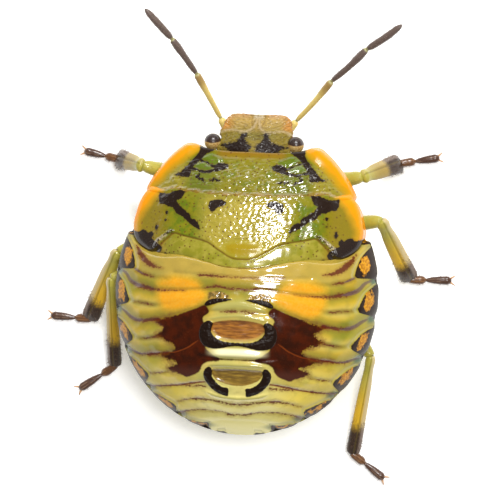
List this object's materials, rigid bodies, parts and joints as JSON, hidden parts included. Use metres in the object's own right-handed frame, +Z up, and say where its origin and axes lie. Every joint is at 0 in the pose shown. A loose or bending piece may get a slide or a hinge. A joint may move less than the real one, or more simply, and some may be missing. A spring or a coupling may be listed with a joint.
{
  "type": "green stink bug nymph, still life-size model",
  "caption": "Still, life-size model of a green stink bug nymph standing on its feet, with rounded abdomen, short wing pads, jointed legs and feelers.",
  "frame": {"origin": "middle of the footprint box, on the floor", "axes": "+Z up, head towards -Y, the bug's right side towards -X"},
  "size_m": [0.0114, 0.013, 0.0043],
  "materials": {
    "shell": "glossy pitted green shell with orange side margins and black streaks",
    "belly": "glossy pale green with yellow, red-brown and black markings",
    "head": "satin tan and olive with fine wrinkles",
    "eye": "glossy dark brown",
    "leg": "satin yellow-green turning dark brown at the shin's end",
    "foot": "satin dark brown with paler streaks and orange claws",
    "feeler": "satin yellow root and grey-brown outer lengths"
  },
  "bodies": {
    "root": {"head": "head", "eye_left": "eye", "eye_right": "eye", "antenna_left": "feeler", "antenna_right": "feeler", "beak": "leg", "front_thorax": "shell", "rear_thorax": "shell", "abdomen": "belly", "leg_front_left_femur": "leg", "leg_front_left_tibia": "leg", "leg_front_left_tarsus": "foot", "leg_front_right_femur": "leg", "leg_front_right_tibia": "leg", "leg_front_right_tarsus": "foot", "leg_middle_left_femur": "leg", "leg_middle_left_tibia": "leg", "leg_middle_left_tarsus": "foot", "leg_middle_right_femur": "leg", "leg_middle_right_tibia": "leg", "leg_middle_right_tarsus": "foot", "leg_hind_left_femur": "leg", "leg_hind_left_tibia": "leg", "leg_hind_left_tarsus": "foot", "leg_hind_right_femur": "leg", "leg_hind_right_tibia": "leg", "leg_hind_right_tarsus": "foot"}
  },
  "joints": []
}
